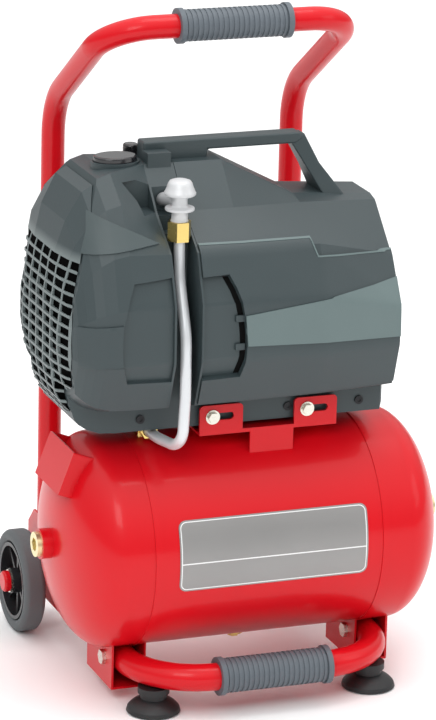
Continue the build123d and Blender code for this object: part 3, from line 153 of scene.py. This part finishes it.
WHITE_CAST = material(
    "pale_cast_metal", (0.6, 0.61, 0.62), 0.42, metallic=0.25, grain=300, bump=0.12,
)
BRASS = material("brass", (0.78, 0.58, 0.2), 0.24, metallic=1.0, grain=300, bump=0.06, shift=0.08)
PALE_BRASS = material("pale_brass", (0.8, 0.7, 0.4), 0.3, metallic=0.9, grain=300, bump=0.06)
LABEL = material(
    "brushed_label", (0.30, 0.295, 0.29), 0.42, metallic=0.55, grain=500, bump=0.12,
    stretch=(0.05, 1, 6), shift=0.08,
)
LINE_WHITE = material("label_line", (0.85, 0.85, 0.85), 0.4, grain=500, bump=0.02, shift=0.02)
darker_above(GRILLE, GRILLE_TOP_Z, COVER_COLOUR)
POLYMER = material("seal_polymer", (0.75, 0.74, 0.68), 0.4, grain=500, bump=0.1)

NODE_MATERIALS = {
    RED: (
        "tank_shell tank_domes tank_bosses plate_holder lower_bar front_brackets handle_frame"
        " rear_brackets hub_caps pump_cradle"
    ),
    PLASTIC: (
        "pipe_channel cover_left cover_right outlet_cap carry_handle cover_clip button_bezel"
        " cooling_fan"
    ),
    GRILLE: "grille_cap",
    GLOSS_BLACK: "switch_button switch_body regulator_knob capacitor exhaust_silencer",
    BLACK_RUBBER: "suction_feet rubber_mounts cable_gland",
    GRIP: "lower_grip handle_grip",
    TYRE: "tyre_left tyre_right",
    RIM: "wheel_rim_left wheel_rim_right",
    ZINC: "hex_bolts axle_washers",
    BLACK_OXIDE: "socket_screws",
    STEEL: "axle pump_base motor_bearings motor_shaft crank_disc crank_bearing valve_plate",
    LAMINATION: "motor_stator rotor",
    COPPER: "motor_coils",
    CAST: "motor_housing end_shields piston_rod crankcase cylinder cylinder_head",
    WHITE_CAST: "suction_elbow",
    PIPE: "suction_pipe",
    BRASS: "pipe_nuts drain_plug check_valve",
    PALE_BRASS: "port_fittings",
    LABEL: "label_plate",
    POLYMER: "piston_seal",
}
for finish, names in NODE_MATERIALS.items():
    for name in names.split():
        mesh = cad_nodes[name].data
        mesh.materials.clear()
        mesh.materials.append(finish)

# Mesh helpers ------------------------------------------------------------------------------


def place(x, y, z):
    """A point in the row frame, from millimetres with y measured from the tank axis."""
    return Vector((x, TANK_Y + y, z)) * MM


def piece(name, bm, finish, body="pump", sharp=28.0, bevel=0.0, segments=2):
    """Turns a bmesh into a shaded object that rides on a CAD body."""
    bmesh.ops.recalc_face_normals(bm, faces=bm.faces[:])
    mesh = bpy.data.meshes.new(name)
    bm.to_mesh(mesh)
    bm.free()
    mesh.materials.append(finish)
    return shaded(name, mesh, body, sharp, bevel, segments)


def shaded(name, mesh, body="pump", sharp=28.0, bevel=0.0, segments=2):
    """An object with smooth shading between its sharp edges, and rounded edges if asked."""
    made = bpy.data.objects.new(name, mesh)
    scene.collection.objects.link(made)
    mesh.shade_smooth()
    mesh.set_sharp_from_angle(angle=radians(sharp))
    if bevel:
        rounding = made.modifiers.new("rounding", "BEVEL")
        rounding.width = bevel * MM
        rounding.segments = segments
        rounding.limit_method = "ANGLE"
        rounding.angle_limit = radians(sharp)
        rounding.harden_normals = True
    if body:
        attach(made, body)
    return made


def carve(target, cutter, operation="DIFFERENCE"):
    """Applies a boolean of a cutter bmesh to a bmesh and returns the result as a bmesh."""
    objects = []
    for bm in (target, cutter):
        bmesh.ops.recalc_face_normals(bm, faces=bm.faces[:])
        mesh = bpy.data.meshes.new("scratch")
        bm.to_mesh(mesh)
        bm.free()
        scratch = bpy.data.objects.new("scratch", mesh)
        scene.collection.objects.link(scratch)
        objects.append(scratch)
    cut = objects[0].modifiers.new("cut", "BOOLEAN")
    cut.object = objects[1]
    cut.operation = operation
    cut.solver = "EXACT"
    bpy.context.view_layer.update()
    seen = objects[0].evaluated_get(bpy.context.evaluated_depsgraph_get())
    result = bmesh.new()
    result.from_mesh(seen.to_mesh())
    for scratch in objects:
        bpy.data.objects.remove(scratch)
    return result


def prism(points, y):
    """A solid with an outline in X and Z between two y values."""
    bm = bmesh.new()
    rings = [[bm.verts.new(place(x, depth, z)) for x, z in points] for depth in y]
    bm.faces.new(rings[0])
    bm.faces.new(rings[1][::-1])
    for a in range(len(points)):
        b = (a + 1) % len(points)
        bm.faces.new((rings[0][b], rings[0][a], rings[1][a], rings[1][b]))
    return bm


def slab(x, y, z):
    """A rectangular block between two x, two y and two z values."""
    return prism([(x[0], z[0]), (x[1], z[0]), (x[1], z[1]), (x[0], z[1])], y)


def loft(rings):
    """A closed solid through rings that all have the same number of points."""
    bm = bmesh.new()
    made = [[bm.verts.new(point) for point in ring] for ring in rings]
    bm.faces.new(made[0])
    bm.faces.new(made[-1][::-1])
    for first, second in zip(made, made[1:]):
        for a in range(len(first)):
            b = (a + 1) % len(first)
            bm.faces.new((first[b], first[a], second[a], second[b]))
    return bm


def ellipse_post(centre, size, z):
    """An upright oval solid between two heights."""
    ring = []
    for step in range(40):
        angle = 2 * pi * step / 40
        ring.append((centre[0] + size[0] / 2 * cos(angle), centre[1] + size[1] / 2 * sin(angle)))
    return loft([[place(x, y, height) for x, y in ring] for height in z])


# Cover shells: the faceted barrel with its panels --------------------------------------------

CAP_OUTLINE = [
    (48, 258), (48, 279), (80, 289), (97, 333),
    (96, 386), (82, 432), (56, 471), (24, 492),
]
HUMP_OUTLINE = [
    (48, 258), (48, 280), (82, 289), (99, 334),
    (98, 386), (81, 430), (42, 458), (8, 494),
]
SLOPE_OUTLINE = [
    (48, 258), (48, 280), (82, 290), (98, 334),
    (97, 384), (78, 429), (26, 454), (8, 458),
]
RIGHT_OUTLINE = [
    (48, 258), (48, 281), (75, 291), (88, 333),
    (87, 366), (62, 410), (20, 450), (8, 453),
]
BACK_SHELF = 26.0
CAP_START = -136.0
CAP_DEPTH = 58.0


def cap_outline(depth):
    """The cap's outline at a share of its depth."""
    wide = (1 - depth**3.5) ** (1 / 3.5)
    high = (1 - depth**2) ** 0.5
    low = (1 - depth**2.5) ** (1 / 2.5)
    return [
        (forward * wide, MID_Z + (z - MID_Z) * (high if z > MID_Z else low))
        for forward, z in CAP_OUTLINE
    ]


def barrel_ring(x, outline, wall=0.0):
    """The closed outline of the barrel at x, drawn in by a wall thickness."""
    shelf = BACK_SHELF * outline[-2][0] / CAP_OUTLINE[-2][0] if x < CAP_START else BACK_SHELF
    front = [(COVER_Y - forward, z) for forward, z in outline]
    back = [(COVER_Y + forward, z) for forward, z in outline]
    for top in (-2, -1):
        back[top] = (back[top][0] + shelf, back[top][1])
    ring = front + back[::-1]
    drawn = []
    for number, (y, z) in enumerate(ring):
        before, after = ring[number - 1], ring[(number + 1) % len(ring)]
        way_in = Vector((y - before[0], z - before[1])).normalized()
        way_out = Vector((after[0] - y, after[1] - z)).normalized()
        sides = [Vector((way.y, -way.x)) for way in (way_in, way_out)]
        corner = (sides[0] + sides[1]).normalized()
        reach = wall / max(0.4, corner.dot(sides[0]))
        drawn.append(place(x, y + corner.x * reach, z + corner.y * reach))
    return drawn


def barrel(wall=0.0, end_in=0.0):
    """The barrel as a closed solid."""
    stations = [
        (CAP_START - CAP_DEPTH * share, cap_outline(share))
        for share in (0.97, 0.93, 0.88, 0.8, 0.7, 0.58, 0.45, 0.25)
    ]
    stations += [
        (CAP_START, CAP_OUTLINE), (-99.0, HUMP_OUTLINE), (-25.0, HUMP_OUTLINE),
        (45.0, SLOPE_OUTLINE), (121.0, RIGHT_OUTLINE),
    ]
    stations[0] = (stations[0][0] + end_in, stations[0][1])
    stations[-1] = (stations[-1][0] - end_in, stations[-1][1])
    return loft([barrel_ring(x, outline, wall) for x, outline in stations])


outer = barrel()
bmesh.ops.recalc_face_normals(outer, faces=outer.faces[:])
outer_tree = BVHTree.FromBMesh(outer)
outer.free()


def on_barrel(x, z):
    """(point, outward normal) on the front of the barrel at x and z."""
    origin = place(x, -200, z)
    point, normal, _, _ = outer_tree.ray_cast(origin, Vector((0, 1, 0)))
    if point is None:
        point, normal, _, _ = outer_tree.find_nearest(place(x, -60, z))
    return point, -normal if normal.y > 0 else normal


def on_tank(x, along):
    """(point, outward normal) on the front of the tank at an arc length above its middle."""
    angle = along / TANK_R
    normal = Vector((0, -cos(angle), sin(angle)))
    return place(x, 0, TANK_Z) + normal * TANK_R * MM, normal


def patch(points, cell):
    """A flat outline cut into a grid of cells, ready to be laid on a curved surface."""
    bm = bmesh.new()
    bm.faces.new([bm.verts.new((u, v, 0)) for u, v in points])
    for axis in (0, 1):
        low = min(point[axis] for point in points)
        high = max(point[axis] for point in points)
        normal = Vector((1 - axis, axis, 0))
        for step in range(int(low // cell) + 1, int(high // cell) + 1):
            geometry = bm.verts[:] + bm.edges[:] + bm.faces[:]
            spot = normal * step * cell
            bmesh.ops.bisect_plane(bm, geom=geometry, plane_co=spot, plane_no=normal)
    return bm


def laid(flat, surface, out, depth):
    """A flat mesh laid on a surface as a closed skin from a depth below it to a height above."""
    bm = bmesh.new()
    tops, bottoms = {}, {}
    for vertex in flat.verts:
        point, normal = surface(vertex.co.x, vertex.co.y)
        tops[vertex.index] = bm.verts.new(point + normal * out * MM)
        bottoms[vertex.index] = bm.verts.new(point - normal * depth * MM)
    for face in flat.faces:
        order = [vertex.index for vertex in face.verts]
        bm.faces.new([tops[i] for i in order])
        bm.faces.new([bottoms[i] for i in order[::-1]])
    for edge in flat.edges:
        if len(edge.link_faces) == 1:
            a, b = (vertex.index for vertex in edge.verts)
            bm.faces.new((tops[a], tops[b], bottoms[b], bottoms[a]))
    flat.free()
    bmesh.ops.recalc_face_normals(bm, faces=bm.faces[:])
    return bm


def cover_patch(points, out, depth, cell=4.0):
    """A closed skin over part of the cover's front, from its outline in X and Z."""
    flat = patch(points, cell)
    flat.verts.index_update()
    return laid(flat, on_barrel, out, depth)


CHANNEL = (-99.0, -71.0)
WALL = 5.0
CAP_EDGE = [
    (-132, 520), (-147, 492), (-160, 466), (-173, 431), (-183, 394), (-186.5, 364), (-186, 335),
    (-179, 290), (-163, 240),
]
RIGHT_INSET = [
    (-72, 409), (-46, 410), (-40, 398), (-36, 386), (-33, 372), (-31.5, 358), (-31, 345),
    (-32, 331), (-35, 317), (-72, 316),
]
LEFT_INSET = [
    (-98, 411), (-134, 408), (-140, 392), (-145, 372), (-147, 350), (-145, 333), (-140, 317),
    (-98, 316),
]

shell = carve(barrel(), barrel(WALL, WALL))
left_shell = carve(
    shell.copy(),
    prism([(x + 0.4, z) for x, z in CAP_EDGE] + [(-71, 240), (-71, 520)], (-150, 170)),
    "INTERSECT",
)
left_shell = carve(left_shell, slab(CHANNEL, (-150, -50), (240, 520)))
left_shell = carve(left_shell, slab(CHANNEL, (-149, -18), (440, 521)))
left_shell = carve(
    left_shell, prism([(-126, 484), (-98, 484), (-98, 458), (-112, 458), (-116, 470)], (-149, -18)),
)
left_shell = carve(left_shell, ellipse_post((-121, 10), (45, 35), (470, 515)))
left_shell = carve(left_shell, cover_patch(LEFT_INSET, 6, 3.5))
piece("cover_left_shell", left_shell, PLASTIC, sharp=9, bevel=1.1)
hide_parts("cover_left")

right_shell = carve(shell, slab((-70.6, 121), (-150, 170), (240, 520)), "INTERSECT")
right_shell = carve(right_shell, cover_patch(RIGHT_INSET, 6, 3.5))
piece("cover_right_shell", right_shell, PLASTIC, sharp=9, bevel=1.1)
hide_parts("cover_right")

SIDE_PANEL = [
    (-70.6, 435), (36, 433.5), (41, 419), (120.6, 413), (120.6, 295), (-70.6, 291), (-70.6, 316),
    (-35, 317), (-32, 331), (-31, 345), (-31.5, 358), (-33, 372), (-36, 386), (-40, 398),
    (-46, 410), (-70.6, 409),
]
piece("side_panel", cover_patch(SIDE_PANEL, 2.2, 0.4), PLASTIC, sharp=40, bevel=0.8)
WEDGE = [(-33, 374), (120.6, 391), (120.6, 340), (-30.5, 346)]
# The wedge is raised, and its lighter plastic is a painted highlight on its lit face.
piece("side_wedge", cover_patch(WEDGE, 3.4, 0.2), PLASTIC_PAINTED_HIGHLIGHT, sharp=40, bevel=0.6)
GAP = [
    (-46, 409), (-40, 397), (-36, 385), (-33, 371), (-31.5, 357), (-31, 345), (-32, 331),
    (-35, 318), (-40, 318), (-37, 331), (-36, 345), (-36.5, 357), (-38, 371), (-41, 385),
    (-45, 397), (-51, 409),
]
# A near-black skin sunk into the gap: painted shade in the recess.
piece("inset_gap", cover_patch(GAP, -3.0, 3.6, 3.0), PAINTED_GAP_SHADE, sharp=40)
for number, z in enumerate((371, 345), 1):
    tab = [(-41, z - 3), (-32, z - 3), (-32, z + 3), (-41, z + 3)]
    piece(f"inset_tab_{number}", cover_patch(tab, -1.0, 3.6, 3.0), PLASTIC, sharp=40, bevel=0.3)
# A thin strip along the side panel's top edge in the lighter plastic: a painted highlight on the
# ledge.
PANEL_EDGE_HIGHLIGHT = [
    (-70.6, 435), (36, 433.5), (41, 419), (120.4, 413), (120.4, 411.6), (40.2, 417.6),
    (35.2, 432.1), (-70.6, 433.6),
]
piece("panel_edge_painted_highlight", cover_patch(PANEL_EDGE_HIGHLIGHT, 2.6, -1.6), PLASTIC_PAINTED_HIGHLIGHT, sharp=40)
LEFT_BAND = [(-183, 371), (-146, 372.5), (-147, 350), (-146, 335), (-182, 334)]
piece("left_band", cover_patch(LEFT_BAND, 1.6, 0.4), PLASTIC, sharp=40, bevel=0.5)
# The corner facet is the cover plastic with painted light on it.
CORNER_FACET = [(-163, 465), (-107, 439), (-174, 431)]
piece("corner_facet", cover_patch(CORNER_FACET, 1.4, 0.4), PLASTIC_PAINTED_FACET_LIGHT, sharp=40, bevel=0.4)

# A near-black shell just inside the grille cap: painted shade seen through the grille holes.
grille_shade_shell = loft([
    barrel_ring(CAP_START - CAP_DEPTH * share, cap_outline(share), 5.5)
    for share in (0.9, 0.88, 0.8, 0.7, 0.58, 0.45, 0.3)
])
grille_shade_shell.faces.ensure_lookup_table()
bmesh.ops.delete(grille_shade_shell, geom=[grille_shade_shell.faces[1]], context="FACES_ONLY")
piece("painted_grille_shade", grille_shade_shell, GRILLE_PAINTED_SHADE)

# Carry handle with its flared leg -----------------------------------------------------------

bar = prism(
    [(-95, 470), (-95, 511), (56, 511), (60, 506), (52, 500.5), (-33, 500.5), (-37, 470)], (8, 26),
)
piece("carry_handle_bar", bar, PLASTIC, sharp=25, bevel=2.4, segments=4)
leg = loft([
    [place(48, 9, 501), place(60, 9, 510), place(60, 25, 510), place(48, 25, 501)],
    [place(62, 5, 478), place(74, 4, 482), place(74, 30, 482), place(62, 29, 478)],
    [place(76, -6, 452), place(96, -8, 452), place(96, 36, 452), place(76, 36, 452)],
])
piece("carry_handle_leg", leg, PLASTIC, sharp=25, bevel=1.6, segments=3)
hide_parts("carry_handle")

# Suction elbow ------------------------------------------------------------------------------


def lathe(profile, centre, steps=48):
    """A turned solid round an upright axis, from its (radius, z) profile, bottom to top."""
    rings = []
    for radius, z in profile:
        rings.append([
            place(
                centre[0] + radius * cos(2 * pi * step / steps),
                centre[1] + radius * sin(2 * pi * step / steps), z,
            )
            for step in range(steps)
        ])
    return loft(rings)


ELBOW = (-85, -62)
stem = lathe(
    [(6.8, 452), (6.8, 455.9), (8, 456.2), (7.4, 458), (7.2, 464), (8.5, 465.6), (13.0, 466.2),
     (13.3, 467), (13.0, 468.4), (8, 469.2), (6.9, 471), (6.8, 476), (8, 479), (13.2, 479.6),
     (14.2, 480.6), (14.2, 482.2), (13.4, 483.4), (11.6, 488), (10.8, 490.5), (9.4, 492.6),
     (6, 493.8), (2, 494.1)],
    ELBOW,
)
piece("elbow_stem", stem, WHITE_CAST, sharp=50)
arm = loft([
    [
        place(ELBOW[0] + 6.2 * cos(2 * pi * step / 32), y, z + 6.2 * sin(2 * pi * step / 32))
        for step in range(32)
    ]
    for y, z in ((-58, 474), (-48, 472.5), (-30, 468), (-15.6, 464.4))
])
piece("elbow_arm", arm, WHITE_CAST, sharp=50)
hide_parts("suction_elbow")

# Label wrapped on the tank ------------------------------------------------------------------


def rounded(half_u, v_low, v_high, corner, steps=6):
    """The outline of a rectangle with rounded corners."""
    points = []
    for u_sign, v, turn in ((1, v_high, 0), (-1, v_high, 1), (-1, v_low, 2), (1, v_low, 3)):
        centre = (u_sign * (half_u - corner), v - corner if v == v_high else v + corner)
        for step in range(steps + 1):
            angle = radians(90 * turn + 90 * step / steps)
            points.append((centre[0] + corner * cos(angle), centre[1] + corner * sin(angle)))
    return points


def label_strip(outline_out, outline_in):
    """A flat band between two outlines with the same number of points."""
    bm = bmesh.new()
    outside = [bm.verts.new((u, v, 0)) for u, v in outline_out]
    inside = [bm.verts.new((u, v, 0)) for u, v in outline_in]
    for a in range(len(outside)):
        b = (a + 1) % len(outside)
        bm.faces.new((outside[a], outside[b], inside[b], inside[a]))
    for step in range(-22, 23):
        geometry = bm.verts[:] + bm.edges[:] + bm.faces[:]
        bmesh.ops.bisect_plane(bm, geom=geometry, plane_co=(0, step * 2.0, 0), plane_no=(0, 1, 0))
    return bm


LABEL_LOW, LABEL_HIGH = radians(-13) * TANK_R, radians(25) * TANK_R
LABEL_HALF, LINE_HALF = 91, 88.8
flat = patch(rounded(LABEL_HALF, LABEL_LOW, LABEL_HIGH, 7), 2.5)
flat.verts.index_update()
piece("tank_label", laid(flat, on_tank, 0.6, 0.0), LABEL, sharp=40)
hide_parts("label_plate")
border = label_strip(
    rounded(89.6, LABEL_LOW + 1.4, LABEL_HIGH - 1.4, 6),
    rounded(LINE_HALF, LABEL_LOW + 2.2, LABEL_HIGH - 2.2, 5.4),
)
border.verts.index_update()
piece("label_border", laid(border, on_tank, 0.75, -0.5), LINE_WHITE, sharp=40)
middle = patch([(-LINE_HALF, 3.2), (LINE_HALF, 3.2), (LINE_HALF, 4.2), (-LINE_HALF, 4.2)], 4)
middle.verts.index_update()
piece("label_middle_line", laid(middle, on_tank, 0.75, -0.5), LINE_WHITE, sharp=40)

# Rounded edges on the pieces carried over from the CAD ------------------------------------------

for name in (
    "pump_cradle plate_holder front_brackets rear_brackets cover_clip pipe_nuts hex_bolts"
    " button_bezel wheel_rim_left wheel_rim_right"
).split():
    rounding = cad_nodes[name].modifiers.new("rounding", "BEVEL")
    rounding.width = 0.4 * MM
    rounding.segments = 2
    rounding.limit_method = "ANGLE"
    rounding.angle_limit = radians(40)

# Floor, light and camera ----------------------------------------------------------------------

FLOOR_HALF = 6
floor_mesh = bpy.data.meshes.new("floor")
floor_corners = [
    (across * FLOOR_HALF, along * FLOOR_HALF, 0)
    for across, along in ((-1, -1), (1, -1), (1, 1), (-1, 1))
]
floor_mesh.from_pydata(floor_corners, [], [(0, 1, 2, 3)])
floor = bpy.data.objects.new("floor", floor_mesh)
scene.collection.objects.link(floor)
floor_mesh.materials.append(
    material("pale_floor", (0.96, 0.96, 0.96), 0.6, grain=40, bump=0.0, shift=0.01, specular=0.2),
)

# The sky brightens between two heights of its direction, from the first strength to the second.
SKY_HEIGHTS, SKY_STRENGTHS = (0.05, 0.85), (0.28, 1.6)
world = bpy.data.worlds.new("studio")
scene.world = world
world.use_nodes = True
sky = world.node_tree.nodes["Background"]
way = world.node_tree.nodes.new("ShaderNodeTexCoord")
parts = world.node_tree.nodes.new("ShaderNodeSeparateXYZ")
lift = world.node_tree.nodes.new("ShaderNodeMapRange")
lift.inputs["From Min"].default_value = SKY_HEIGHTS[0]
lift.inputs["From Max"].default_value = SKY_HEIGHTS[1]
lift.inputs["To Min"].default_value = SKY_STRENGTHS[0]
lift.inputs["To Max"].default_value = SKY_STRENGTHS[1]
world.node_tree.links.new(way.outputs["Generated"], parts.inputs["Vector"])
world.node_tree.links.new(parts.outputs["Z"], lift.inputs["Value"])
world.node_tree.links.new(lift.outputs["Result"], sky.inputs["Strength"])
sky.inputs["Color"].default_value = (1, 1, 1, 1)

LIGHTS = (
    ("key", (-1.1, -1.7, 1.7), 1.0, 11.0),
    ("fill", (1.7, -1.2, 1.1), 1.0, 3.5),
    ("top", (0.3, -0.1, 2.3), 1.0, 9.0),
)
for name, spot, size, power in LIGHTS:
    lamp = bpy.data.lights.new(name, "AREA")
    lamp.shape = "SQUARE"
    lamp.size = size
    lamp.energy = power
    holder = bpy.data.objects.new(name, lamp)
    holder.location = spot
    holder.rotation_euler = (Vector((0, 0, 0.3)) - Vector(spot)).to_track_quat("-Z", "Y").to_euler()
    scene.collection.objects.link(holder)

AZIMUTH, ELEVATION, ROLL = 0.365, 0.297, 0.025
DISTANCE = 3.6558
LENS, SENSOR, VIEW_END = 200, 36, 50
AIM_ACROSS, AIM_UP = -0.02026, 0.30167
right = Vector((cos(AZIMUTH), -sin(AZIMUTH), 0))
back = Vector((-sin(AZIMUTH) * cos(ELEVATION), -cos(AZIMUTH) * cos(ELEVATION), sin(ELEVATION)))
up = back.cross(right)
rolled_right = cos(ROLL) * right + sin(ROLL) * up
rolled_up = -sin(ROLL) * right + cos(ROLL) * up
aim = right * AIM_ACROSS + Vector((0, TANK_Y * MM, AIM_UP))
lens = bpy.data.cameras.new("camera")
lens.lens = LENS
lens.sensor_width = SENSOR
lens.clip_end = VIEW_END
camera = bpy.data.objects.new("camera", lens)
camera.matrix_world = Matrix.Translation(aim + back * DISTANCE) @ Matrix(
    (rolled_right, rolled_up, back)
).transposed().to_4x4()
scene.collection.objects.link(camera)
scene.camera = camera
scene.view_settings.view_transform = "Standard"
